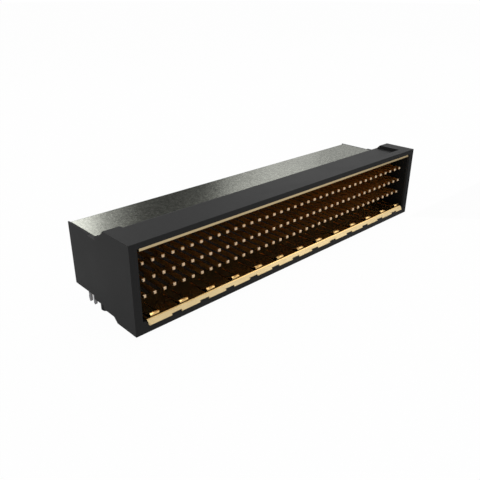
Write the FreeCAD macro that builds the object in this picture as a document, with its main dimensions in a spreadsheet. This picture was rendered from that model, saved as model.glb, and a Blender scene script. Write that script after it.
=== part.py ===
# Right-angle shrouded board header: three rows of 38 square contacts in a moulded
# housing, with ground plates on the shroud's ceiling and floor, a folded rear shield
# over the bent tails, a tail spacer and two board locks.
#
# Frame, in millimetres: X runs along the rows, with 0 midway between the end faces.
# Y runs from the mating face to the back, with 0 on the line of the two locating pegs.
# Z is up, with 0 on the board's surface.
import FreeCAD
import Part
import math
import os

import Sketcher

# Driving sizes
SIZES = [
    ("column_pitch", 1.27, "contact to contact along a row"),
    ("column_count", 38, "contacts in a row"),
    ("row_pitch", 1.89, "row to row, on the mating face"),
    ("tail_pitch", 1.5, "tail row to tail row, on the board"),
    ("first_tail", 0.8, "first tail row behind the pegs"),
    ("bottom_row_height", 2.69, "lowest row above the board"),
    ("wire_size", 0.4, "side of the square contact wire"),
    ("bend_cut", 0.5, "mitre across a contact's bend, along its middle line"),
    ("bend_gap", 0.02, "bend of the lowest contact to the core"),
    ("tip_flat", 0.22, "side of a contact's blunt front face"),
    ("tip_taper", 0.14, "length of the taper behind it"),
    ("tail_length", 1.9, "tails below the board's surface"),
    ("tail_flat", 0.2, "side of a tail's end"),
    ("tail_taper", 0.3, "length of the taper above it"),
    ("end_margin", 1.905, "middle of the last column to the end face"),
    ("shroud_above", 2.79, "shroud top above the top row"),
    ("shroud_drop", 1.0, "shroud bottom below the board's surface"),
    ("step_drop", 0.44, "step beside the board's edge, below its surface"),
    ("slope_height", 0.6, "run of the slope between the two"),
    ("skirt_length", 3.57, "full-depth part of the shroud bottom"),
    ("edge_stop", 1.37, "board edge ahead of the pegs"),
    ("tip_setback", 0.77, "contact tips behind the mating face"),
    ("cavity_depth", 4.5, "mating face to the cavity's back"),
    ("core_depth", 3.3, "wall that holds the contacts"),
    ("end_wall", 0.93, "end walls of the shroud"),
    ("top_wall", 0.93, "top wall of the shroud"),
    ("floor_wall", 1.21, "floor of the shroud"),
    ("body_inset", 0.36, "rear body in from each end face"),
    ("peg_cover", 0.03, "end cheeks behind the pegs' round"),
    ("head_room", 0.98, "rear body above the top row"),
    ("rear_margin", 1.29, "rear face behind the last tail row"),
    ("side_room", 0.225, "chamber wall beside the outer columns"),
    ("ear_width", 2.03, "raised ears at the ends of the shroud top"),
    ("recess_depth", 0.51, "shroud top sunk between the ears"),
    ("front_band", 1.3, "full-height band along the mating face"),
    ("back_chamfer", 0.66, "chamfer along the shroud's upper back edge"),
    ("top_length", 4.7, "mating face to that chamfer"),
    ("back_fall", 0.45, "fall of the slope behind the chamfer"),
    ("ledge_reach", 1.12, "front edge of the rear shield, ahead of the pegs"),
    ("sheet", 0.2, "lower ground plate thickness"),
    ("upper_sheet", 0.27, "upper ground plate thickness"),
    ("plate_grip", 0.6, "ground plates held in the core"),
    ("upper_side_gap", 0.28, "upper plate's end to the end wall"),
    ("upper_setback", 0.1, "upper plate's edge behind the mating face"),
    ("lower_side_gap", 0.59, "lower plate's end to the end wall"),
    ("lip_setback", 0.23, "fold of the front lip behind the mating face"),
    ("lip_run", 0.54, "front lip, along Y"),
    ("lip_fall", 0.45, "front lip, down"),
    ("lip_corner", 0.25, "lower corners of the lip cut off"),
    ("notch_depth", 0.2, "notches in the lip's edge"),
    ("notch_width", 1.3, "width of a notch"),
    ("notch_shift", 0.58, "notches to the right of the middle between two fingers"),
    ("spring_columns", 3, "columns from one spring finger to the next"),
    ("spring_width", 1.1, "spring finger width"),
    ("spring_sheet", 0.15, "spring finger thickness"),
    ("spring_rise", 0.44, "finger crest above the plate"),
    ("spring_tip_rise", 0.33, "finger tip above the plate"),
    ("spring_tip_setback", 0.2, "finger tip behind the mating face"),
    ("spring_nose", 0.2, "finger tip to crest"),
    ("spring_length", 3.0, "finger tip to root"),
    ("window_margin", 0.15, "window in the plate, around a finger"),
    ("window_setback", 0.3, "window's front edge behind the mating face"),
    ("shield_sheet", 0.25, "rear shield thickness"),
    ("shield_side", 0.16, "housing walls beside it"),
    ("shield_bend", 0.2, "inner radius of its bend"),
    ("shield_lift", 0.25, "its lower edge above the board"),
    ("corner_cut", 0.3, "chamfer of the rear body under the bend"),
    ("latch_width", 0.4, "latch bump width"),
    ("latch_height", 0.9, "latch bump height"),
    ("latch_depth", 0.2, "latch bump depth"),
    ("latch_level", 4.6, "top of the latch bumps"),
    ("latch_gap", 0.08, "latch window around a bump"),
    ("spacer_lift", 0.25, "tail spacer above the board"),
    ("spacer_thickness", 1.0, "tail spacer thickness"),
    ("tongue_length", 0.8, "spacer tongues along Y"),
    ("tongue_depth", 0.2, "spacer tongues into the end blocks"),
    ("tongue_thickness", 0.4, "spacer tongues, up"),
    ("peg_radius", 0.5, "locating pegs"),
    ("peg_length", 1.51, "locating pegs below the board's surface"),
    ("peg_chamfer", 0.15, "at the pegs' ends"),
    ("peg_spread", 0.955, "peg and board lock beyond the last column"),
    ("lock_sheet", 0.3, "board lock thickness"),
    ("lock_middle", 2.755, "middle of a board lock behind the pegs"),
    ("leg_pitch", 1.01, "leg to leg of a board lock"),
    ("leg_width", 0.34, "leg width"),
    ("leg_length", 1.83, "legs below the board's surface"),
    ("leg_barb", 0.08, "barbs of a board lock"),
    ("leg_split", 0.1, "top of the gap between the legs"),
    ("hook_level", 0.7, "hook of a leg above its tip"),
    ("anchor_level", 0.65, "barb in the housing, above the board"),
    ("anchor_length", 0.3, "run-out of that barb"),
    ("lock_height", 2.6, "board lock inside the housing"),
    ("fit_gap", 0.02, "clearance of a piece in its seat"),
    ("slide_gap", 0.05, "clearance of a piece that slides in"),
    ("run_past", 1.0, "cuts run on past the surface"),
]

doc = FreeCAD.newDocument("board_header")
sheet = doc.addObject("Spreadsheet::Sheet", "sizes")
for line, (alias, number, meaning) in enumerate(SIZES, start=1):
    sheet.set("A%d" % line, meaning)
    sheet.set("B%d" % line, str(number))
    sheet.setAlias("B%d" % line, alias)
doc.recompute()


class Size:
    """A length with its value and the expression that binds it to the sheet."""

    def __init__(self, value, text):
        self.value = value
        self.text = text

    def join(self, other, sign, value):
        return Size(value, "(%s %s %s)" % (self.text, sign, as_size(other).text))

    def __add__(self, other):
        return self.join(other, "+", self.value + as_size(other).value)

    def __sub__(self, other):
        return self.join(other, "-", self.value - as_size(other).value)

    def __mul__(self, other):
        return self.join(other, "*", self.value * as_size(other).value)

    def __truediv__(self, other):
        return self.join(other, "/", self.value / as_size(other).value)

    def __neg__(self):
        return Size(-self.value, "(-1 * %s)" % self.text)

    def root(self):
        return Size(math.sqrt(self.value), "sqrt(%s)" % self.text)


def as_size(number):
    if isinstance(number, Size):
        return number
    return Size(number, repr(float(number)))


def cell(alias):
    return Size(float(sheet.get(alias)), "sizes." + alias)


ZERO = as_size(0)


# Sketches and features
def origin_plane(body, role):
    for feature in body.Origin.OriginFeatures:
        if feature.Role == role:
            return feature


def new_body(name):
    body = doc.addObject("PartDesign::Body", name)
    body.Label = name
    return body


def new_sketch(body, name, role, offset=None):
    sketch = body.newObject("Sketcher::SketchObject", name)
    sketch.AttachmentSupport = [(origin_plane(body, role), "")]
    sketch.MapMode = "FlatFace"
    if offset is not None:
        sketch.setExpression("AttachmentOffset.Base.z", offset.text)
    return sketch


def pin_point(sketch, edge, end, point):
    """Bind one corner's two coordinates to the sheet."""
    for kind, size in (("DistanceX", point[0]), ("DistanceY", point[1])):
        index = sketch.addConstraint(Sketcher.Constraint(kind, -1, 1, edge, end, size.value))
        sketch.setExpression("Constraints[%d]" % index, size.text)


def arc_edge(start, end, centre):
    """The shorter arc between two corners; says whether it runs from end to start."""
    middle = FreeCAD.Vector(centre[0].value, centre[1].value, 0)
    first = math.atan2(start[1].value - middle.y, start[0].value - middle.x)
    last = math.atan2(end[1].value - middle.y, end[0].value - middle.x)
    turn = (last - first) % (2 * math.pi)
    backwards = turn > math.pi
    if backwards:
        first, last = last, first
    radius = math.hypot(start[0].value - middle.x, start[1].value - middle.y)
    circle = Part.Circle(middle, FreeCAD.Vector(0, 0, 1), radius)
    return Part.ArcOfCircle(circle, first, last), backwards


def outline(sketch, corners):
    """Close a loop through corners (x, y). A corner (x, y, centre, radius) starts an arc."""
    edges = []
    for number, corner in enumerate(corners):
        following = corners[(number + 1) % len(corners)]
        if len(corner) > 2:
            curve, backwards = arc_edge(corner, following, corner[2])
            edge = sketch.addGeometry(curve, False)
            edges.append((edge, 2 if backwards else 1, 1 if backwards else 2))
            index = sketch.addConstraint(Sketcher.Constraint("Radius", edge, corner[3].value))
            sketch.setExpression("Constraints[%d]" % index, corner[3].text)
        else:
            first = FreeCAD.Vector(corner[0].value, corner[1].value, 0)
            last = FreeCAD.Vector(following[0].value, following[1].value, 0)
            edge = sketch.addGeometry(Part.LineSegment(first, last), False)
            edges.append((edge, 1, 2))
    for number, (edge, start, end) in enumerate(edges):
        other, other_start, other_end = edges[(number + 1) % len(edges)]
        sketch.addConstraint(Sketcher.Constraint("Coincident", edge, end, other, other_start))
        pin_point(sketch, edge, start, corners[number])


def rectangle(sketch, low, high):
    outline(sketch, [low, (high[0], low[1]), high, (low[0], high[1])])


def feature(body, kind, name, sketch, length, both=False, reverse=False):
    """A pad or pocket of a sketch, over a bound length."""
    made = body.newObject("PartDesign::" + kind, name)
    made.Profile = sketch
    made.Type = 0
    made.Length = length.value
    made.setExpression("Length", length.text)
    if both:
        made.Midplane = True
    made.Reversed = reverse
    body.Tip = made
    return made


def mirrored(body, name, originals):
    made = body.newObject("PartDesign::Mirrored", name)
    made.Originals = originals
    made.MirrorPlane = (origin_plane(body, "YZ_Plane"), [""])
    body.Tip = made
    return made


def row_pattern(body, name, originals, role, step, count):
    """Copies of a feature along an origin axis, step apart."""
    made = body.newObject("PartDesign::LinearPattern", name)
    made.Originals = originals
    made.Direction = (origin_plane(body, role), [""])
    made.Length = step.value * (count - 1)
    made.setExpression("Length", (step * (count - 1)).text)
    made.Occurrences = count
    body.Tip = made
    return made


def grid_pattern(body, name, originals, steps):
    """Copies of a feature along two origin axes: steps holds (axis, step, count)."""
    made = body.newObject("PartDesign::MultiTransform", name)
    made.Originals = originals
    parts = []
    for role, step, count in steps:
        part = body.newObject("PartDesign::LinearPattern", name + "_" + role)
        part.Direction = (origin_plane(body, role), [""])
        part.Length = step.value * (count - 1)
        part.setExpression("Length", (step * (count - 1)).text)
        part.Occurrences = count
        parts.append(part)
    made.Transformations = parts
    body.Tip = made
    return made


# Places that several pieces share
columns = int(cell("column_count").value)
rows = 3
pitch = cell("column_pitch")
wire = cell("wire_size")
fit = cell("fit_gap")
slide = cell("slide_gap")
past = cell("run_past")
half_span = pitch * (columns - 1) / 2
half_length = half_span + cell("end_margin")
half_body = half_length - cell("body_inset")
half_opening = half_length - cell("end_wall")
half_chamber = half_span + wire / 2 + cell("side_room")
mitre = wire / 2 * (math.sqrt(2) - 1)
first_tail = cell("first_tail")
core_back = first_tail - (cell("bend_cut") + mitre + cell("bend_gap"))
cavity_back = core_back - cell("core_depth")
front = cavity_back - cell("cavity_depth")
tips = front + cell("tip_setback")
rear = first_tail + cell("tail_pitch") * (rows - 1) + cell("rear_margin")
top_row = cell("bottom_row_height") + cell("row_pitch") * (rows - 1)
shroud_top = top_row + cell("shroud_above")
ceiling = shroud_top - cell("top_wall")
shroud_bottom = -cell("shroud_drop")
floor = shroud_bottom + cell("floor_wall")
body_top = top_row + cell("head_room")
ledge = -cell("ledge_reach")
plate_back = cavity_back + cell("plate_grip")
half_upper = half_opening - cell("upper_side_gap")
half_lower = half_opening - cell("lower_side_gap")
spring_step = pitch * cell("spring_columns")
springs = int((columns + 1) // cell("spring_columns").value)
first_spring = -(spring_step * (springs - 1) / 2)
peg_side = half_span + cell("peg_spread")
lock_middle = cell("lock_middle")
half_seat = half_body - cell("shield_side")
seat_depth = cell("shield_sheet") + fit
latch_side = half_chamber + (half_seat - half_chamber) / 2

# The lip is folded down from the lower plate's front edge
lip_fold = front + cell("lip_setback")
lip_edge = lip_fold - cell("lip_run")
lip_slant = (cell("lip_run") * cell("lip_run") + cell("lip_fall") * cell("lip_fall")).root()
lip_under = lip_fold + cell("sheet") * (lip_slant - cell("lip_run")) / cell("lip_fall")
lip_slope = cell("lip_fall") / cell("lip_run")


# Housing: one black moulding with the shroud, the core that holds the contacts, an end
# block at each side of the tail chamber, and two pegs
def make_housing():
    body = new_body("housing")
    slope_start = front + cell("skirt_length")
    slope_end = slope_start + cell("slope_height")
    stop = -cell("edge_stop")
    chamfer = cell("back_chamfer")
    top_back = front + cell("top_length")
    foot = (top_back + chamfer, shroud_top - chamfer)
    slope_foot = foot[1] - cell("back_fall")
    skirt = [
        (front, shroud_bottom),
        (slope_start, shroud_bottom),
        (slope_end, -cell("step_drop")),
        (stop, -cell("step_drop")),
        (stop, ZERO),
    ]
    crown = [(ledge, slope_foot), foot, (top_back, shroud_top), (front, shroud_top)]
    wall_top = body_top + seat_depth
    wall_back = rear + seat_depth
    section = new_sketch(body, "section", "YZ_Plane")
    back = [(wall_back, ZERO), (wall_back, wall_top), (ledge, wall_top)]
    outline(section, skirt + back + crown)
    feature(body, "Pad", "main_section", section, half_body * 2, both=True)

    cheek_back = cell("peg_radius") + cell("peg_cover")
    cheek = new_sketch(body, "cheek_outline", "YZ_Plane", half_body)
    cheek_rear = [(cheek_back, ZERO), (cheek_back, wall_top), (ledge, wall_top)]
    outline(cheek, skirt + cheek_rear + crown)
    cheek_pad = feature(body, "Pad", "end_cheek", cheek, cell("body_inset"))
    mirrored(body, "other_end_cheek", [cheek_pad])

    # Seat of the rear shield, sunk between two thin side walls
    cut = cell("corner_cut")
    seat = new_sketch(body, "shield_seat_section", "YZ_Plane")
    outline(seat, [
        (ledge, body_top),
        (rear - cut, body_top),
        (rear, body_top - cut),
        (rear, -past),
        (wall_back + past, -past),
        (wall_back + past, wall_top + past),
        (ledge, wall_top + past),
    ])
    feature(body, "Pocket", "shield_seat", seat, half_seat * 2, both=True)

    # Mating cavity, with a bevel under the lower plate's lip
    bevel = floor - (lip_under - front) * lip_slope
    mouth = front - past
    cavity = new_sketch(body, "cavity_section", "YZ_Plane")
    outline(cavity, [
        (mouth, bevel),
        (front, bevel),
        (lip_under, floor),
        (cavity_back, floor),
        (cavity_back, ceiling),
        (mouth, ceiling),
    ])
    feature(body, "Pocket", "cavity", cavity, half_opening * 2, both=True)

    # Slots in the core for the two ground plates
    slot_end = plate_back + slide
    for name, half, low, high in (
            ("upper", half_upper, ceiling - cell("upper_sheet") - fit * 2, ceiling),
            ("lower", half_lower, floor, floor + cell("sheet") + fit * 2)):
        slot = new_sketch(body, name + "_slot_section", "YZ_Plane")
        rectangle(slot, (cavity_back, low), (slot_end, high))
        feature(body, "Pocket", name + "_slot", slot, (half + slide) * 2, both=True)

    # Top recess between the ears
    recess = new_sketch(body, "recess_outline", "XY_Plane", shroud_top)
    half_recess = half_length - cell("ear_width")
    rectangle(recess, (-half_recess, front + cell("front_band")), (half_recess, ledge))
    feature(body, "Pocket", "top_recess", recess, cell("recess_depth"))

    # Tail chamber between the end blocks
    chamber = new_sketch(body, "chamber_section", "YZ_Plane")
    rectangle(chamber, (core_back, -past), (rear + past, shroud_top))
    feature(body, "Pocket", "tail_chamber", chamber, half_chamber * 2, both=True)

    # Contact holes through the core
    hole = new_sketch(body, "contact_hole_outline", "XZ_Plane", -cavity_back)
    half_hole = wire / 2 + fit
    low = cell("bottom_row_height")
    rectangle(hole, (-half_span - half_hole, low - half_hole), (half_hole - half_span, low + half_hole))
    first_hole = feature(body, "Pocket", "contact_hole", hole, cell("core_depth"))
    grid_pattern(body, "contact_holes", [first_hole],
                 [("X_Axis", pitch, columns), ("Z_Axis", cell("row_pitch"), rows)])

    # Pegs
    radius = cell("peg_radius")
    tip = -cell("peg_length")
    round_off = cell("peg_chamfer")
    peg = new_sketch(body, "peg_outline", "XZ_Plane")
    outline(peg, [
        (peg_side, tip),
        (peg_side + radius - round_off, tip),
        (peg_side + radius, tip + round_off),
        (peg_side + radius, cell("peg_radius")),
        (peg_side, cell("peg_radius")),
    ])
    turned = body.newObject("PartDesign::Revolution", "peg")
    turned.Profile = peg
    axis = peg.addGeometry(Part.LineSegment(FreeCAD.Vector(peg_side.value, tip.value, 0),
                                            FreeCAD.Vector(peg_side.value, 0, 0)), True)
    pin_point(peg, axis, 1, (peg_side, tip))
    pin_point(peg, axis, 2, (peg_side, ZERO))
    turned.ReferenceAxis = (peg, ["Axis0"])
    turned.Angle = 360
    body.Tip = turned
    mirrored(body, "other_peg", [turned])

    # Board lock slots
    slot = new_sketch(body, "lock_slot_outline", "XY_Plane")
    half_lock = cell("leg_pitch") / 2 + cell("leg_width") / 2 + cell("leg_barb") + fit
    side = cell("lock_sheet") / 2 + fit
    rectangle(slot, (peg_side - side, lock_middle - half_lock), (peg_side + side, lock_middle + half_lock))
    lock_slot = feature(body, "Pocket", "lock_slot", slot, cell("lock_height") + slide, reverse=True)
    mirrored(body, "other_lock_slot", [lock_slot])

    # Grooves for the spacer's tongues
    groove = new_sketch(body, "groove_outline", "XZ_Plane", -spacer_tongue_start() + fit)
    low = spacer_tongue_low() - fit
    rectangle(groove, (half_chamber - cell("tongue_depth"), low),
              (half_chamber + cell("tongue_depth"), low + cell("tongue_thickness") + fit * 2))
    groove_cut = feature(body, "Pocket", "tongue_groove", groove, cell("tongue_length") + fit * 2)
    mirrored(body, "other_tongue_groove", [groove_cut])

    # Latch bumps on the back of the end blocks
    bump = new_sketch(body, "latch_section", "YZ_Plane", latch_side - cell("latch_width") / 2)
    top = cell("latch_level")
    outline(bump, [
        (rear - cell("latch_depth"), top),
        (rear - cell("latch_depth"), top - cell("latch_height")),
        (rear + cell("latch_depth"), top - cell("latch_height")),
        (rear, top),
    ])
    latch = feature(body, "Pad", "latch_bump", bump, cell("latch_width"))
    mirrored(body, "other_latch_bump", [latch])
    return body


# Contacts: square wire, bent once, with a blunt tapered tip and a tapered tail
def make_contact(name, row):
    body = new_body(name)
    half = wire / 2
    level = cell("bottom_row_height") + cell("row_pitch") * row
    leg = first_tail + cell("tail_pitch") * row
    bend = cell("bend_cut")
    tip_end = tips + cell("tip_taper")
    flat = cell("tip_flat") / 2
    tail = -cell("tail_length")
    tail_start = tail + cell("tail_taper")
    tail_flat = cell("tail_flat") / 2
    side = new_sketch(body, name + "_side", "YZ_Plane")
    outline(side, [
        (tips, level - flat),
        (tip_end, level - half),
        (leg - bend - mitre, level - half),
        (leg - half, level - bend - mitre),
        (leg - half, tail_start),
        (leg - tail_flat, tail),
        (leg + tail_flat, tail),
        (leg + half, tail_start),
        (leg + half, level - bend + mitre),
        (leg - bend + mitre, level + half),
        (tip_end, level + half),
        (tips, level + flat),
    ])
    feature(body, "Pad", name + "_wire", side, wire, both=True)

    # Side tapers of the tip and of the tail
    above = new_sketch(body, name + "_tip_plan", "XY_Plane", level)
    outline(above, [(flat, tips), (wire, tips), (wire, tip_end + cell("tip_taper") * (wire / 2)
                                                 / (half - flat)), (half, tip_end)])
    tip_cut = feature(body, "Pocket", name + "_tip_taper", above, wire * 2, both=True)
    mirrored(body, name + "_other_tip_taper", [tip_cut])
    behind = new_sketch(body, name + "_tail_plan", "XZ_Plane", -leg)
    outline(behind, [(tail_flat, tail), (wire, tail), (wire, tail_start + cell("tail_taper") * (wire / 2)
                                                       / (half - tail_flat)), (half, tail_start)])
    tail_cut = feature(body, "Pocket", name + "_tail_taper", behind, wire * 2, both=True)
    mirrored(body, name + "_other_tail_taper", [tail_cut])
    return body


def make_column(number, contacts):
    """The three contacts of one column, upper, middle and lower."""
    name = "contact_column_%02d" % (number + 1)
    group = doc.addObject("Part::Compound", name)
    group.Label = name
    group.Links = contacts
    group.setExpression("Placement.Base.x", (pitch * number - half_span).text)
    return group


# Upper ground plate: a flat gold-plated strip under the shroud's ceiling
def make_upper_plate():
    body = new_body("upper_ground_plate")
    high = ceiling - fit
    section = new_sketch(body, "upper_plate_section", "YZ_Plane")
    rectangle(section, (front + cell("upper_setback"), high - cell("upper_sheet")), (plate_back, high))
    feature(body, "Pad", "upper_strip", section, half_upper * 2, both=True)
    return body


# Lower ground plate: a gold-plated strip on the shroud's floor, with a row of lanced
# spring fingers and a front lip that is folded down over the floor and notched
def make_lower_plate():
    body = new_body("lower_ground_plate")
    thick = cell("sheet")
    low = floor + fit
    high = low + thick
    edge = high - cell("lip_fall")
    away = (thick * cell("lip_fall") / lip_slant, thick * cell("lip_run") / lip_slant)
    section = new_sketch(body, "lower_plate_section", "YZ_Plane")
    outline(section, [
        (lip_edge, edge),
        (lip_edge + away[0], edge - away[1]),
        (lip_under, low),
        (plate_back, low),
        (plate_back, high),
        (lip_fold, high),
    ])
    feature(body, "Pad", "lower_strip", section, half_lower * 2, both=True)

    # Windows that the fingers were lanced from
    width = cell("spring_width")
    margin = cell("window_margin")
    finger_tip = front + cell("spring_tip_setback")
    root = finger_tip + cell("spring_length")
    window = new_sketch(body, "window_outline", "XY_Plane", floor)
    rectangle(window, (first_spring - width / 2 - margin, front + cell("window_setback")),
              (first_spring + width / 2 + margin, root))
    opened = feature(body, "Pocket", "window", window, thick * 4, both=True)
    row_pattern(body, "windows", [opened], "X_Axis", spring_step, springs)

    # Fingers: up from the root to a crest, then down to a free tip
    thin = cell("spring_sheet")
    crest = finger_tip + cell("spring_nose")
    finger = new_sketch(body, "finger_side", "YZ_Plane", first_spring - width / 2)
    outline(finger, [
        (finger_tip, high + cell("spring_tip_rise") - thin),
        (crest, high + cell("spring_rise") - thin),
        (root, low),
        (root + thick, low),
        (root + thick, high),
        (root, high),
        (crest, high + cell("spring_rise")),
        (finger_tip, high + cell("spring_tip_rise")),
    ])
    pressed = feature(body, "Pad", "finger", finger, width)
    row_pattern(body, "fingers", [pressed], "X_Axis", spring_step, springs)

    # Notches in the lip's edge, cut square to the sheet before the lip is folded
    middle = first_spring + spring_step / 2 + cell("notch_shift")
    notch = new_sketch(body, "notch_side", "YZ_Plane", middle - cell("notch_width") / 2)
    share = cell("notch_depth") / lip_slant
    inner = (lip_edge + cell("lip_run") * share, edge + cell("lip_fall") * share)
    outer = (lip_edge - cell("lip_run") * share, edge - cell("lip_fall") * share)
    outline(notch, [(across + away[0] * side, up - away[1] * side)
                    for (across, up), side in ((outer, -1), (outer, 2), (inner, 2), (inner, -1))])
    notched = feature(body, "Pocket", "notch", notch, cell("notch_width"), reverse=True)
    row_pattern(body, "notches", [notched], "X_Axis", spring_step, springs - 1)

    # Lower corners of the lip cut off
    corner = cell("lip_corner")
    plan = new_sketch(body, "lip_corner_outline", "XY_Plane", high)
    outline(plan, [
        (half_lower - corner * 2, lip_edge - corner),
        (half_lower + corner, lip_edge - corner),
        (half_lower + corner, lip_edge + corner * 2),
    ])
    clipped = feature(body, "Pocket", "lip_corner", plan, cell("lip_fall") * 4, both=True)
    mirrored(body, "other_lip_corner", [clipped])
    return body


# Rear shield: one folded sheet over the tail chamber and down its back
def make_shield():
    body = new_body("rear_shield")
    thick = cell("shield_sheet")
    inner = cell("shield_bend")
    low = body_top + fit
    back = rear + fit
    centre = (back - inner, low - inner)
    section = new_sketch(body, "shield_section", "YZ_Plane")
    outline(section, [
        (ledge + fit, low),
        (back - inner, low, centre, inner),
        (back, low - inner),
        (back, cell("shield_lift")),
        (back + thick, cell("shield_lift")),
        (back + thick, low - inner, centre, inner + thick),
        (back - inner, low + thick),
        (ledge + fit, low + thick),
    ])
    feature(body, "Pad", "shield_fold", section, (half_seat - fit) * 2, both=True)
    gap = cell("latch_gap")
    half = cell("latch_width") / 2 + gap
    window = new_sketch(body, "latch_window_outline", "XZ_Plane", -rear - thick * 2)
    rectangle(window, (latch_side - half, cell("latch_level") - cell("latch_height") - gap),
              (latch_side + half, cell("latch_level") + gap))
    opened = feature(body, "Pocket", "latch_window", window, thick * 4, both=True)
    mirrored(body, "other_latch_window", [opened])
    return body


# Tail spacer: a moulded comb plate that lines the tails up for the board
def spacer_tongue_start():
    return rear - cell("tongue_length") - slide * 2


def spacer_tongue_low():
    return cell("spacer_lift") + (cell("spacer_thickness") - cell("tongue_thickness")) / 2


def make_spacer():
    body = new_body("tail_spacer")
    plan = new_sketch(body, "spacer_outline", "XY_Plane", cell("spacer_lift"))
    half = half_chamber - slide
    rectangle(plan, (-half, core_back + slide), (half, rear - slide))
    feature(body, "Pad", "spacer_plate", plan, cell("spacer_thickness"))
    tongue = new_sketch(body, "tongue_outline", "XY_Plane", spacer_tongue_low())
    start = spacer_tongue_start()
    rectangle(tongue, (half - slide, start), (half_chamber + cell("tongue_depth") - slide,
                                              start + cell("tongue_length")))
    tongue_pad = feature(body, "Pad", "tongue", tongue, cell("tongue_thickness"))
    mirrored(body, "other_tongue", [tongue_pad])
    hole = new_sketch(body, "tail_hole_outline", "XY_Plane", cell("spacer_lift"))
    half_hole = wire / 2 + slide
    rectangle(hole, (-half_span - half_hole, first_tail - half_hole),
              (half_hole - half_span, first_tail + half_hole))
    first_hole = feature(body, "Pocket", "tail_hole", hole, cell("spacer_thickness") * 3, both=True)
    grid_pattern(body, "tail_holes", [first_hole],
                 [("X_Axis", pitch, columns), ("Y_Axis", cell("tail_pitch"), rows)])
    return body


# Board locks: flat tinned forks, pressed up into the end blocks, with two barbed legs
def make_lock(name, side):
    body = new_body(name)
    half_pitch = cell("leg_pitch") / 2
    half_leg = cell("leg_width") / 2
    barb = cell("leg_barb")
    tip = -cell("leg_length")
    inner = half_pitch - half_leg
    outer = half_pitch + half_leg
    hook = tip + cell("hook_level")
    anchor = cell("anchor_level")
    right = [
        (inner, cell("leg_split")),
        (inner, tip + half_leg),
        (half_pitch, tip),
        (outer, tip + half_leg),
        (outer + barb, hook),
        (outer, hook),
        (outer, anchor),
        (outer + barb, anchor),
        (outer, anchor + cell("anchor_length")),
        (outer, cell("lock_height")),
    ]
    left = [(-across, up) for across, up in reversed(right)]
    flat = new_sketch(body, name + "_outline", "YZ_Plane", peg_side * side - cell("lock_sheet") / 2)
    outline(flat, [(lock_middle + across, up) for across, up in right + left])
    feature(body, "Pad", name + "_blank", flat, cell("lock_sheet"))
    return body


# The whole header
pieces = [make_housing()]
pieces.append(make_upper_plate())
pieces.append(make_lower_plate())
pieces.append(make_shield())
pieces.append(make_spacer())
pieces.append(make_lock("right_board_lock", 1))
pieces.append(make_lock("left_board_lock", -1))
masters = [
    make_contact("lower_contact", 0),
    make_contact("middle_contact", 1),
    make_contact("upper_contact", 2),
]
for number in range(columns):
    pieces.append(make_column(number, masters))
doc.recompute()

for item in doc.Objects:
    for state in ("Invalid", "Error"):
        if state in item.State:
            raise RuntimeError("%s is %s" % (item.Name, state))
for piece in pieces:
    if piece.Shape.isNull() or not piece.Shape.isValid() or not piece.Shape.Solids:
        raise RuntimeError("%s has no valid solid" % piece.Label)

os.makedirs("parts", exist_ok=True)
for piece in pieces:
    piece.Shape.exportStep("parts/%s.step" % piece.Label)
    box = piece.Shape.BoundBox
    print("%-20s %3d solids %9.3f mm3  y %.2f..%.2f  z %.2f..%.2f" % (
        piece.Label, len(piece.Shape.Solids), piece.Shape.Volume, box.YMin, box.YMax, box.ZMin, box.ZMax))
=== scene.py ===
import math

import bmesh
import bpy
import numpy as np
from mathutils import Matrix, Vector


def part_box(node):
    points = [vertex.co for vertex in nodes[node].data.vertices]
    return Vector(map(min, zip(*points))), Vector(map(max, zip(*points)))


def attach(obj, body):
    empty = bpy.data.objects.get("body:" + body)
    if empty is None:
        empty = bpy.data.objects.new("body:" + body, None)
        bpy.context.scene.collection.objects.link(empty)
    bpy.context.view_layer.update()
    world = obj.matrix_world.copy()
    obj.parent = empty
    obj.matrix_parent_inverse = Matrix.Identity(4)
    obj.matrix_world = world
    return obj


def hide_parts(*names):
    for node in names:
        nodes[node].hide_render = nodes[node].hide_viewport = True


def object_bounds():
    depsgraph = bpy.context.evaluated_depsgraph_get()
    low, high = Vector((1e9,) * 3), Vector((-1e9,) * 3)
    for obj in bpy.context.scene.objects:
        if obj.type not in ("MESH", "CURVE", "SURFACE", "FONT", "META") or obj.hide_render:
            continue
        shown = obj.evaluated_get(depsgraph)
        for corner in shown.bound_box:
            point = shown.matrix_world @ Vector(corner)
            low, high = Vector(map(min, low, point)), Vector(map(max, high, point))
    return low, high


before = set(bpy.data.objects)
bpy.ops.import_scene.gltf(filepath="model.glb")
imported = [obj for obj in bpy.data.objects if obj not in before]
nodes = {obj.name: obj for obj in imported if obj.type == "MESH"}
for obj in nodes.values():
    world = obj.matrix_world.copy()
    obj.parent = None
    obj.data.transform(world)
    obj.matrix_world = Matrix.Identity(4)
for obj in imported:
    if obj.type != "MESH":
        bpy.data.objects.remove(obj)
cad_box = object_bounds()

# View
# The camera stands ahead of the header's left end and above it, and looks along the
# rows. Its place and turn were fitted to the contact tips in the photograph. Sizes and
# places are in millimetres in this file, and MM turns them into metres.
MM = 0.001
FRAME_PX = 480
FOCAL_PX = 537.3
CAMERA_PLACE = Vector((-48.96, -47.66, 30.81)) * MM
CAMERA_YAW = math.radians(43.457)
CAMERA_PITCH = math.radians(24.717)
CAMERA_ROLL = math.radians(0.23)
NEAREST_SEEN = 5 * MM


def camera_turn(yaw, pitch, roll):
    """Columns right, up and backwards: yaw turns from +Y towards +X, pitch looks down."""
    forward = Vector((math.sin(yaw) * math.cos(pitch), math.cos(yaw) * math.cos(pitch), -math.sin(pitch)))
    level = Vector((math.cos(yaw), -math.sin(yaw), 0))
    rise = level.cross(forward)
    right = level * math.cos(roll) + rise * math.sin(roll)
    up = rise * math.cos(roll) - level * math.sin(roll)
    return Matrix((right, up, -forward)).transposed()


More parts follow.
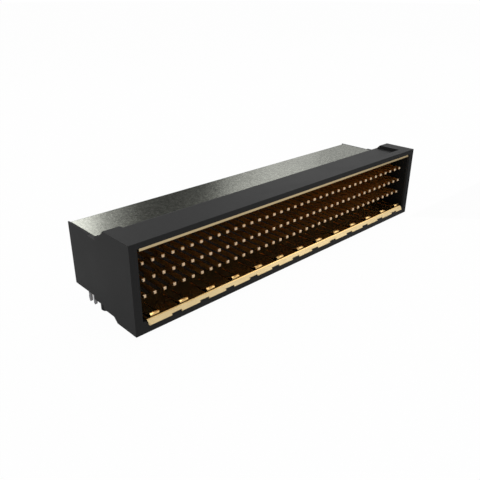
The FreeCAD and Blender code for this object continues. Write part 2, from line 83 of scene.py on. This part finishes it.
camera_data = bpy.data.cameras.new("camera")
camera_data.sensor_fit = "HORIZONTAL"
camera_data.lens = camera_data.sensor_width * FOCAL_PX / FRAME_PX
camera_data.clip_start = NEAREST_SEEN
camera = bpy.data.objects.new("camera", camera_data)
camera.matrix_world = Matrix.LocRotScale(
    CAMERA_PLACE, camera_turn(CAMERA_YAW, CAMERA_PITCH, CAMERA_ROLL).to_quaternion(), None)
bpy.context.scene.collection.objects.link(camera)
bpy.context.scene.camera = camera
bpy.context.scene.view_settings.view_transform = "Standard"


# Studio
# Soft boxes stand above, ahead and to the right, and three behind for the shield to
# mirror. A black card hangs between two of those, and one lies on the table at the
# right. The room is dim, and the table white with a faint shadow.
class Socket:
    """One output of a shader node. Arithmetic on it adds Math nodes behind it."""

    def __init__(self, finish, socket):
        self.finish = finish
        self.socket = socket

    def math(self, operation, first, second):
        return self.finish.add("ShaderNodeMath", {"operation": operation}, {0: first, 1: second})

    def __add__(self, other):
        return self.math("ADD", self, other)

    def __radd__(self, other):
        return self.math("ADD", other, self)

    def __sub__(self, other):
        return self.math("SUBTRACT", self, other)

    def __rsub__(self, other):
        return self.math("SUBTRACT", other, self)

    def __mul__(self, other):
        return self.math("MULTIPLY", self, other)

    def __rmul__(self, other):
        return self.math("MULTIPLY", other, self)

    def most(self, other):
        return self.math("MAXIMUM", self, other)

    def least(self, other):
        return self.math("MINIMUM", self, other)

    def clipped(self):
        """The value, kept between 0 and 1."""
        return self.most(0.0).least(1.0)

    def below(self, limit):
        """1 where the value is below the limit, 0 elsewhere."""
        return self.math("LESS_THAN", self, limit)

    def between(self, low, high):
        """1 where the value lies between low and high, 0 elsewhere."""
        return self.math("GREATER_THAN", self, low) * self.below(high)

    def axis(self, name):
        """One axis of a vector: X, Y or Z."""
        return self.finish.add("ShaderNodeSeparateXYZ", inputs={"Vector": self}, output=name)


class Finish:
    """The node tree of one material, or of the world. add() makes any of its nodes."""

    def __init__(self, owner):
        owner.use_nodes = True
        self.owner = owner
        self.tree = owner.node_tree
        self.tree.nodes.clear()

    def add(self, kind, settings=None, inputs=None, output=0):
        """A node of a kind: its settings first, then values or links for its sockets."""
        node = self.tree.nodes.new(kind)
        for name, value in (settings or {}).items():
            setattr(node, name, value)
        for name, value in (inputs or {}).items():
            if isinstance(value, Socket):
                self.tree.links.new(value.socket, node.inputs[name])
            else:
                node.inputs[name].default_value = value
        return Socket(self, node.outputs[output]) if len(node.outputs) else None

    def blend(self, share, first, second):
        """A colour between two. A Mix node has its share at input 0, its colours at
        inputs 6 and 7, and the blended colour at output 2."""
        return self.add("ShaderNodeMix", {"data_type": "RGBA"}, {0: share, 6: first, 7: second}, 2)

    def place(self):
        """Object coordinates, in metres."""
        return self.add("ShaderNodeTexCoord", output="Object")

    def noise(self, place, scale, detail, roughness=0.5):
        """A pattern of soft clouds, from 0 to 1: scale is how many fit into a metre."""
        return self.add("ShaderNodeTexNoise", inputs={
            "Vector": place, "Scale": scale, "Detail": detail, "Roughness": roughness})

    def seen(self):
        """1 where the camera sees the surface directly, 0 elsewhere."""
        return self.add("ShaderNodeLightPath", output="Is Camera Ray")

    def mirrored(self):
        """1 where the surface is seen in metal or through glass, 0 elsewhere."""
        glossy = self.add("ShaderNodeLightPath", output="Is Glossy Ray")
        return glossy.most(self.add("ShaderNodeLightPath", output="Is Transmission Ray"))


ROOM_LIGHT = (0.36, 0.36, 0.36, 1)
WHITE = (1, 1, 1, 1)
ROOM_SHARE_MIRRORED = 0.2
room = Finish(bpy.data.worlds.new("room"))
bpy.context.scene.world = room.owner
dim = room.add("ShaderNodeBackground", inputs={"Color": ROOM_LIGHT, "Strength": 1.0})
white = room.add("ShaderNodeBackground", inputs={"Color": WHITE, "Strength": 1.0})
room.add("ShaderNodeOutputWorld", inputs={"Surface": room.add("ShaderNodeMixShader", inputs={
    0: room.seen().most(room.mirrored() * ROOM_SHARE_MIRRORED), 1: dim, 2: white})})


def soft_box(name, place, aim, width, height, brightness):
    """A rectangular lamp at place, turned to aim. Its brightness is its radiance."""
    lamp = bpy.data.lights.new(name, "AREA")
    lamp.shape = "RECTANGLE"
    lamp.size = width * MM
    lamp.size_y = height * MM
    lamp.energy = brightness * math.pi * lamp.size * lamp.size_y
    holder = bpy.data.objects.new(name, lamp)
    direction = Vector(aim) - Vector(place)
    holder.matrix_world = Matrix.LocRotScale(Vector(place) * MM, direction.to_track_quat("-Z", "Y"), None)
    bpy.context.scene.collection.objects.link(holder)


soft_box("top_box", place=(10, -10, 230), aim=(0, 0, 0), width=170, height=130, brightness=2.4)
soft_box("front_box", place=(20, -170, 170), aim=(0, -5, 0), width=160, height=110, brightness=0.5)
soft_box("right_box", place=(170, -70, 150), aim=(0, -5, 0), width=110, height=80, brightness=1.4)
soft_box("back_left_box", place=(38, 198, 99), aim=(38, 0, 99), width=76, height=60, brightness=2.75)
soft_box("back_right_box", place=(231, 198, 96), aim=(231, 0, 96), width=62, height=50, brightness=0.48)
soft_box("high_right_box", place=(290, 198, 232), aim=(0, 0, 5), width=190, height=130, brightness=2.1)


def flat_board(name, corners, finish, seen=True):
    """A plane that belongs to the studio, from its four corners."""
    mesh = bpy.data.meshes.new(name)
    mesh.from_pydata((np.array(corners) * MM).tolist(), [], [(0, 1, 2, 3)])
    mesh.materials.append(finish.owner)
    board = bpy.data.objects.new(name, mesh)
    board.visible_camera = seen
    bpy.context.scene.collection.objects.link(board)


# The hanging card makes the dark stretch that the shield mirrors. The noses of the last
# contacts mirror the low one.
CARD_BLACK = (0.08, 0.08, 0.08, 1)
CARD_DEPTH = 190
CARD_CORNERS = ((92, 40), (160, 40), (160, 150), (92, 150))
TABLE_LEVEL = cad_box[0][2] / MM
LOW_CARD_LEVEL = TABLE_LEVEL + 0.05
LOW_CARD_CORNERS = ((40, -24), (80, -24), (80, -8), (26, -8))
card_finish = Finish(bpy.data.materials.new("black_card"))
card_finish.add("ShaderNodeOutputMaterial", inputs={
    "Surface": card_finish.add("ShaderNodeBsdfDiffuse", inputs={"Color": CARD_BLACK})})
flat_board("black_card", [(x, CARD_DEPTH, z) for x, z in CARD_CORNERS], card_finish, seen=False)
flat_board("low_card", [(x, y, LOW_CARD_LEVEL) for x, y in LOW_CARD_CORNERS], card_finish, seen=False)

# The camera sees the table almost white, and metal mirrors it darker.
TABLE_REACH = 2000
TABLE_PALE = (0.85, 0.85, 0.85, 1)
TABLE_SHARE_SEEN = 0.98
TABLE_SHARE_MIRRORED = 0.4
table_finish = Finish(bpy.data.materials.new("white_table"))
sight = (table_finish.seen() * TABLE_SHARE_SEEN).most(table_finish.mirrored() * TABLE_SHARE_MIRRORED)
plain = table_finish.add("ShaderNodeBsdfDiffuse", inputs={"Color": TABLE_PALE})
glow = table_finish.add("ShaderNodeEmission", inputs={"Color": WHITE, "Strength": 1.0})
table_finish.add("ShaderNodeOutputMaterial", inputs={
    "Surface": table_finish.add("ShaderNodeMixShader", inputs={0: sight, 1: plain, 2: glow})})
flat_board("table", [(x * TABLE_REACH, y * TABLE_REACH, TABLE_LEVEL)
                     for x, y in ((-1, -1), (1, -1), (1, 1), (-1, 1))], table_finish)


# Housing
# One black moulding of glass-filled plastic: shroud, core, end blocks and pegs. It is
# moulded in one shot, so its edges are slightly round and its skin is finely grained.
PLASTIC_BLACK = (0.025, 0.025, 0.025, 1)
PLASTIC_GREY = (0.035, 0.035, 0.035, 1)
# The deepest black below is painted shade, for the mouth's walls and its rim.
PLASTIC_PAINTED_SHADE = (0.01, 0.01, 0.01, 1)
PLASTIC_SPECULAR = 0.15
PLASTIC_ROUGHNESS = 0.46
CLOUD_ROUGHENS = 0.14
GRAIN_ROUGHENS = 0.06
CLOUD_SHARE = 0.7
FIBRE_SHARE = 0.5
PALE_FROM = 0.3
FIBRE_STRETCH = (0.25, 1, 1)
FIBRE_RELIEF = 0.6
GRAIN_DEPTH = 0.01
MOULDED_EDGE = 0.07

# The mouth's walls lie between these places, and the rim ahead of RIM_BACK. Both get
# painted shade: the walls the deepest black, and the rim a share of it.
MOUTH_SIDE = 24.6
MOUTH_LEVELS = (-0.2, 8.7)
MOUTH_DEPTHS = (-7.3, -2.0)
RIM_BACK = -7.56
RIM_SHADE_SHARE = 0.6


def moulded_plastic(name):
    """Black plastic: clouds of paler resin, short glass fibres and a fine matt grain. Painted
    shade makes the walls of the mouth a deeper black, and the rim between the two."""
    finish = Finish(bpy.data.materials.new(name))
    place = finish.place()
    cloud = finish.noise(place, scale=190.0, detail=3.0)
    along = finish.add("ShaderNodeMapping", inputs={"Vector": place, "Scale": FIBRE_STRETCH})
    fibre = finish.noise(along, scale=5200.0, detail=2.0)
    grain = finish.noise(place, scale=9000.0, detail=4.0)
    paler = (cloud * CLOUD_SHARE + fibre * FIBRE_SHARE - PALE_FROM).clipped()
    outside = finish.blend(paler, PLASTIC_BLACK, PLASTIC_GREY)
    # Painted shade: the mouth's walls, and by a share its rim, are blended to the deepest black.
    mouth_shade = place.axis("X").between(-MOUTH_SIDE * MM, MOUTH_SIDE * MM)
    mouth_shade *= place.axis("Y").between(MOUTH_DEPTHS[0] * MM, MOUTH_DEPTHS[1] * MM)
    mouth_shade *= place.axis("Z").between(MOUTH_LEVELS[0] * MM, MOUTH_LEVELS[1] * MM)
    rim_shade = place.axis("Y").below(RIM_BACK * MM)
    relief = finish.add("ShaderNodeBump", inputs={
        "Height": grain + fibre * FIBRE_RELIEF, "Strength": 0.35, "Distance": GRAIN_DEPTH * MM})
    skin = finish.add("ShaderNodeBsdfPrincipled", inputs={
        "Base Color": finish.blend(mouth_shade.most(rim_shade * RIM_SHADE_SHARE), outside, PLASTIC_PAINTED_SHADE),
        "Roughness": PLASTIC_ROUGHNESS + cloud * CLOUD_ROUGHENS + grain * GRAIN_ROUGHENS,
        "Normal": relief, "Specular IOR Level": PLASTIC_SPECULAR})
    finish.add("ShaderNodeOutputMaterial", inputs={"Surface": skin})
    return finish.owner


SHARP_ANGLE = math.radians(25)
FLAT_ANGLE = math.radians(0.5)
MERGED_WITHIN = 0.001


def soften(piece, edge):
    """Rounds the sharp edges of a piece. Normals weighted by area keep its flats flat."""
    bevel = piece.modifiers.new("edges", "BEVEL")
    bevel.width = edge * MM
    bevel.segments = 2
    bevel.limit_method = "ANGLE"
    bevel.angle_limit = SHARP_ANGLE
    normals = piece.modifiers.new("normals", "WEIGHTED_NORMAL")
    normals.mode = "FACE_AREA"


def softened_copy(node, name, edge, material):
    """A copy of a node's solid with its doubles merged and its sharp edges rounded."""
    form = bmesh.new()
    form.from_mesh(nodes[node].data)
    bmesh.ops.remove_doubles(form, verts=form.verts, dist=MERGED_WITHIN * MM)
    bmesh.ops.dissolve_limit(form, angle_limit=FLAT_ANGLE, verts=form.verts, edges=form.edges)
    mesh = bpy.data.meshes.new(name)
    form.to_mesh(mesh)
    form.free()
    mesh.materials.clear()
    mesh.materials.append(material)
    mesh.polygons.foreach_set("use_smooth", np.ones(len(mesh.polygons), bool))
    piece = bpy.data.objects.new(name, mesh)
    bpy.context.scene.collection.objects.link(piece)
    soften(piece, edge)
    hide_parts(node)
    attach(piece, "root")
    return piece


black_plastic = moulded_plastic("black_plastic")
housing = softened_copy("housing", "housing_moulding", MOULDED_EDGE, black_plastic)

# The shroud's roof is thinner than the solid's, so its underside and the strip of gold
# below it stand higher here. Both lie between these levels, ahead of this depth. The
# strip's underside rises a little less, because the strip is thicker than the solid's.
ROOF_LEVELS = (7.9, 8.5)
ROOF_BACK = -2.0
ROOF_LIFT = 0.28
STRIP_MIDDLE = 8.2
STRIP_UNDERSIDE_LIFT = 0.23


def read_places(mesh):
    """The places of a mesh's vertices, one row each."""
    places = np.empty(len(mesh.vertices) * 3)
    mesh.vertices.foreach_get("co", places)
    return places.reshape(-1, 3) / MM


def write_places(mesh, places):
    """Moves a mesh's vertices to the places, in the same order."""
    mesh.vertices.foreach_set("co", (places * MM).ravel())
    mesh.update()


def lift_roof(piece):
    """Adds the lift to the level of each vertex that belongs to the roof's underside."""
    places = read_places(piece.data)
    depth = places[:, 1]
    level = places[:, 2]
    lift = np.where(level > STRIP_MIDDLE, ROOF_LIFT, STRIP_UNDERSIDE_LIFT)
    in_roof = (level > ROOF_LEVELS[0]) & (level < ROOF_LEVELS[1]) & (depth < ROOF_BACK)
    level += lift * in_roof
    write_places(piece.data, places)


lift_roof(housing)


# Tail spacer
# A plain moulded plate of the same black plastic, slid between the end blocks. The
# tails pass through its square holes, which line them up for the board.
SPACER_EDGE = 0.03
softened_copy("tail_spacer", "tail_spacer_plate", SPACER_EDGE, black_plastic)


# Contacts
# Square copper alloy wire, gold plated, bent once to a right angle. The tip is coined to
# a blunt taper and the tail is tapered for the board. Each column holds three of them.
ROWS = 3
WIRE_SIDE = 0.4
ROW_PITCH = 1.89
TAIL_PITCH = 1.5
FIRST_TAIL = 0.8
BEND_RADIUS = 0.42
TIP_FLAT = 0.22
TIP_TAPER = 0.14
TAIL_FLAT = 0.2
TAIL_TAPER = 0.3
WIRE_EDGE = 0.035
CORNERS = 4
BEND_STEPS = 8
BEND_LEAD = 0.05
WIRE_DEEP_GOLD = (0.88, 0.48, 0.14, 1)
WIRE_PALE_GOLD = (0.98, 0.62, 0.24, 1)
WIRE_ROUGHNESS = 0.24
DRAWING_ROUGHENS = 0.14
DRAWING_DEPTH = 0.004
DRAWN_STRETCH = (1, 0.06, 0.06)
# The paler gold of the noses, and the depth where it ends: a painted highlight.
PAINTED_TIP_HIGHLIGHT = (0.74, 0.55, 0.36, 1)
TIP_HIGHLIGHT_BACK = -6.68


def wire_sections(tip, level, leg, tail):
    """Stations along one contact: middle (y, z), heading angle and half width, from the
    coined nose along the level run, round the bend and down to the tail's end. A station
    just before and after the bend keeps the long flats flat."""
    turn = np.linspace(0, math.pi / 2, BEND_STEPS)
    run = np.array([tip, tip + TIP_TAPER, leg - BEND_RADIUS - BEND_LEAD])
    drop = np.array([level - BEND_RADIUS - BEND_LEAD, tail + TAIL_TAPER, tail])
    y = np.concatenate([run, leg - BEND_RADIUS + BEND_RADIUS * np.sin(turn), np.full(len(drop), leg)])
    z = np.concatenate([np.full(len(run), level), level - BEND_RADIUS + BEND_RADIUS * np.cos(turn), drop])
    heading = np.concatenate([np.zeros(len(run)), turn, np.full(len(drop), math.pi / 2)])
    half = np.full(len(y), WIRE_SIDE / 2)
    half[0] = TIP_FLAT / 2
    half[-1] = TAIL_FLAT / 2
    return y, z, heading, half


def wire_grid(middle, tip, level, leg, tail):
    """Points of one contact, stations by its four corners, square to the wire's heading."""
    y, z, heading, half = wire_sections(tip, level, leg, tail)
    across = np.array([1, -1, -1, 1])
    above = np.array([1, 1, -1, -1])
    x_all = middle + half[:, None] * across[None, :]
    y_all = y[:, None] + half[:, None] * above[None, :] * np.sin(heading)[:, None]
    z_all = z[:, None] + half[:, None] * above[None, :] * np.cos(heading)[:, None]
    return np.stack([x_all, y_all, z_all], axis=-1) * MM


def wire_faces(stations, start):
    """Quads between neighbouring stations, and one flat face at each end."""
    along = np.arange(stations - 1)[:, None] * CORNERS
    here = np.arange(CORNERS)[None, :]
    after = (here + 1) % CORNERS
    ahead = along + CORNERS
    quads = np.stack([along + here, ahead + here, ahead + after, along + after], axis=-1)
    quads = quads.reshape(-1, 4) + start
    nose = list(range(start, start + CORNERS))
    end = list(range(start + (stations - 1) * CORNERS, start + stations * CORNERS))
    return quads.tolist() + [nose, end[::-1]]


def metal_surface(finish, colour, roughness, height, strength, depth):
    """Ends a metal's node tree: its colour and roughness, and a relief that follows the
    height pattern and is as deep as depth at most."""
    relief = finish.add("ShaderNodeBump", inputs={
        "Height": height, "Strength": strength, "Distance": depth * MM})
    skin = finish.add("ShaderNodeBsdfPrincipled", inputs={
        "Base Color": colour, "Metallic": 1.0, "Roughness": roughness, "Normal": relief})
    finish.add("ShaderNodeOutputMaterial", inputs={"Surface": skin})
    return finish.owner


def contact_gold(name):
    """Bright gold over nickel: faint drawing lines along the wire, thin patches, and a
    paler colour on the coined tip, which is a painted highlight."""
    finish = Finish(bpy.data.materials.new(name))
    place = finish.place()
    drawn = finish.add("ShaderNodeMapping", inputs={"Vector": place, "Scale": DRAWN_STRETCH})
    lines = finish.noise(drawn, scale=14000.0, detail=3.0)
    patch = finish.noise(place, scale=700.0, detail=3.0)
    # A painted highlight: the wire's colour is paler on its nose, ahead of this depth.
    tip = place.axis("Y").below(TIP_HIGHLIGHT_BACK * MM)
    colour = finish.blend(tip, finish.blend(patch, WIRE_DEEP_GOLD, WIRE_PALE_GOLD), PAINTED_TIP_HIGHLIGHT)
    roughness = WIRE_ROUGHNESS + lines * DRAWING_ROUGHENS
    return metal_surface(finish, colour, roughness, height=lines, strength=0.2, depth=DRAWING_DEPTH)


bright_gold = contact_gold("bright_gold")
for node in sorted(name for name in nodes if name.startswith("contact_column_")):
    low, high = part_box(node)
    middle = (low[0] + high[0]) / 2 / MM
    top_level = high[2] / MM - WIRE_SIDE / 2
    points = []
    faces = []
    # Row 0 is the lowest, and its tail is the one nearest to the pegs.
    for row in range(ROWS):
        grid = wire_grid(middle, low[1] / MM, top_level - ROW_PITCH * (ROWS - 1 - row),
                         FIRST_TAIL + TAIL_PITCH * row, low[2] / MM)
        faces += wire_faces(len(grid), row * len(grid) * CORNERS)
        points.append(grid.reshape(-1, 3))
    mesh = bpy.data.meshes.new(node.replace("column", "wires"))
    mesh.from_pydata(np.concatenate(points).tolist(), [], faces)
    mesh.polygons.foreach_set("use_smooth", np.ones(len(faces), bool))
    mesh.materials.append(bright_gold)
    wires = bpy.data.objects.new(mesh.name, mesh)
    bpy.context.scene.collection.objects.link(wires)
    soften(wires, WIRE_EDGE)
    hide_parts(node)
    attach(wires, "root")


# Ground plates
# Stamped strips of spring alloy with a satin gold plating, pressed into slots of the
# core: a flat one under the ceiling, and one with a lip and fingers on the floor.
STRIP_DEEP_GOLD = (0.84, 0.50, 0.18, 1)
STRIP_PALE_GOLD = (0.98, 0.70, 0.30, 1)
LIP_GOLDS = ((0.70, 0.53, 0.28, 1), (0.86, 0.69, 0.38, 1))
CUT_GOLDS = ((0.55, 0.42, 0.23, 1), (0.68, 0.54, 0.31, 1))
STRIP_ROUGHNESS = 0.17
ROLLING_ROUGHENS = 0.12
FRONT_ROUGHENS = 0.17
ROLLING_DEPTH = 0.004
ROLLED_STRETCH = (0.04, 1, 1)
LIP_BACK = -7.45
UPPER_STRIP_EDGE = 0.02
LOWER_STRIP_EDGE = 0.03


def plate_gold(name, front_golds):
    """Satin gold: rolling lines along the strip, clouds where the plating is thin, and a
    duller front with a deep and a pale gold of its own, where the strip is folded or
    cut."""
    finish = Finish(bpy.data.materials.new(name))
    place = finish.place()
    rolled = finish.add("ShaderNodeMapping", inputs={"Vector": place, "Scale": ROLLED_STRETCH})
    lines = finish.noise(rolled, scale=12000.0, detail=3.0)
    cloud = finish.noise(place, scale=420.0, detail=4.0)
    front = place.axis("Y").below(LIP_BACK * MM)
    strip = finish.blend(cloud, STRIP_DEEP_GOLD, STRIP_PALE_GOLD)
    colour = finish.blend(front, strip, finish.blend(cloud, *front_golds))
    roughness = STRIP_ROUGHNESS + lines * ROLLING_ROUGHENS + front * FRONT_ROUGHENS
    return metal_surface(finish, colour, roughness, height=lines, strength=0.25, depth=ROLLING_DEPTH)


upper_plate = softened_copy("upper_ground_plate", "upper_gold_strip", UPPER_STRIP_EDGE,
                            plate_gold("cut_gold", CUT_GOLDS))
lift_roof(upper_plate)
lower_plate = softened_copy("lower_ground_plate", "lower_gold_strip", LOWER_STRIP_EDGE,
                            plate_gold("satin_gold", LIP_GOLDS))

# The fingers lie almost flat behind a knee, and rise only ahead of it. They are cut
# across at the knee's depth, and what stands clear of the strip there is pressed down.
KNEE_DEPTH = -6.5
KNEE_DROP = 0.25
CUT_WITHIN = 0.01
CLEAR_OF_STRIP = 0.48
form = bmesh.new()
form.from_mesh(lower_plate.data)
bmesh.ops.bisect_plane(form, geom=form.verts[:] + form.edges[:] + form.faces[:],
                       plane_co=(0, KNEE_DEPTH * MM, 0), plane_no=(0, 1, 0))
form.to_mesh(lower_plate.data)
form.free()
places = read_places(lower_plate.data)
knee = (np.abs(places[:, 1] - KNEE_DEPTH) < CUT_WITHIN) & (places[:, 2] > CLEAR_OF_STRIP)
places[knee, 2] -= KNEE_DROP
write_places(lower_plate.data, places)


# Rear shield
# One folded sheet with a matt silver plating, which covers the tail chamber's top and
# back and is latched on two bumps of the end blocks.
SILVER_DARK = (0.14, 0.145, 0.12, 1)
SILVER_PALE = (0.395, 0.405, 0.35, 1)
SILVER_ROUGHNESS = 0.18
MOTTLE_ROUGHENS = 0.1
MIDDLE_TONE = 0.5
MOTTLE_CONTRAST = 1.6
CLOUD_CONTRAST = 0.3
LINES_RELIEF = 0.4
MOTTLE_DEPTH = 0.012
SHEET_STRETCH = (0.08, 1, 1)
SHIELD_EDGE = 0.05


def matt_silver(name):
    """Matt plating on rolled sheet: grey mottles, fine rolling lines, greenish tint."""
    finish = Finish(bpy.data.materials.new(name))
    place = finish.place()
    rolled = finish.add("ShaderNodeMapping", inputs={"Vector": place, "Scale": SHEET_STRETCH})
    lines = finish.noise(rolled, scale=9000.0, detail=3.0)
    mottle = finish.noise(place, scale=3200.0, detail=3.0, roughness=0.6)
    cloud = finish.noise(place, scale=110.0, detail=2.0)
    tone = (mottle - MIDDLE_TONE) * MOTTLE_CONTRAST + (cloud - MIDDLE_TONE) * CLOUD_CONTRAST
    colour = finish.blend((tone + MIDDLE_TONE).clipped(), SILVER_DARK, SILVER_PALE)
    roughness = SILVER_ROUGHNESS + mottle * MOTTLE_ROUGHENS
    return metal_surface(finish, colour, roughness, height=lines * LINES_RELIEF + mottle,
                         strength=0.3, depth=MOTTLE_DEPTH)


softened_copy("rear_shield", "rear_shield_sheet", SHIELD_EDGE, matt_silver("matt_silver"))


# Board locks
# Flat forks stamped from tinned sheet, pressed up into the end blocks. Their barbed
# legs hold the header to the board until it is soldered.
TIN_DARK = (0.20, 0.20, 0.21, 1)
TIN_PALE = (0.44, 0.44, 0.45, 1)
TIN_ROUGHNESS = 0.38
TIN_CLOUD_ROUGHENS = 0.2
TIN_GRAIN_DEPTH = 0.01
LOCK_EDGE = 0.03


def dull_tin(name):
    """Dull tin: soft grey clouds and a fine grain."""
    finish = Finish(bpy.data.materials.new(name))
    place = finish.place()
    cloud = finish.noise(place, scale=2600.0, detail=4.0)
    colour = finish.blend(cloud, TIN_DARK, TIN_PALE)
    roughness = TIN_ROUGHNESS + cloud * TIN_CLOUD_ROUGHENS
    return metal_surface(finish, colour, roughness, height=cloud, strength=0.25, depth=TIN_GRAIN_DEPTH)


tin = dull_tin("dull_tin")
softened_copy("left_board_lock", "left_lock_fork", LOCK_EDGE, tin)
softened_copy("right_board_lock", "right_lock_fork", LOCK_EDGE, tin)
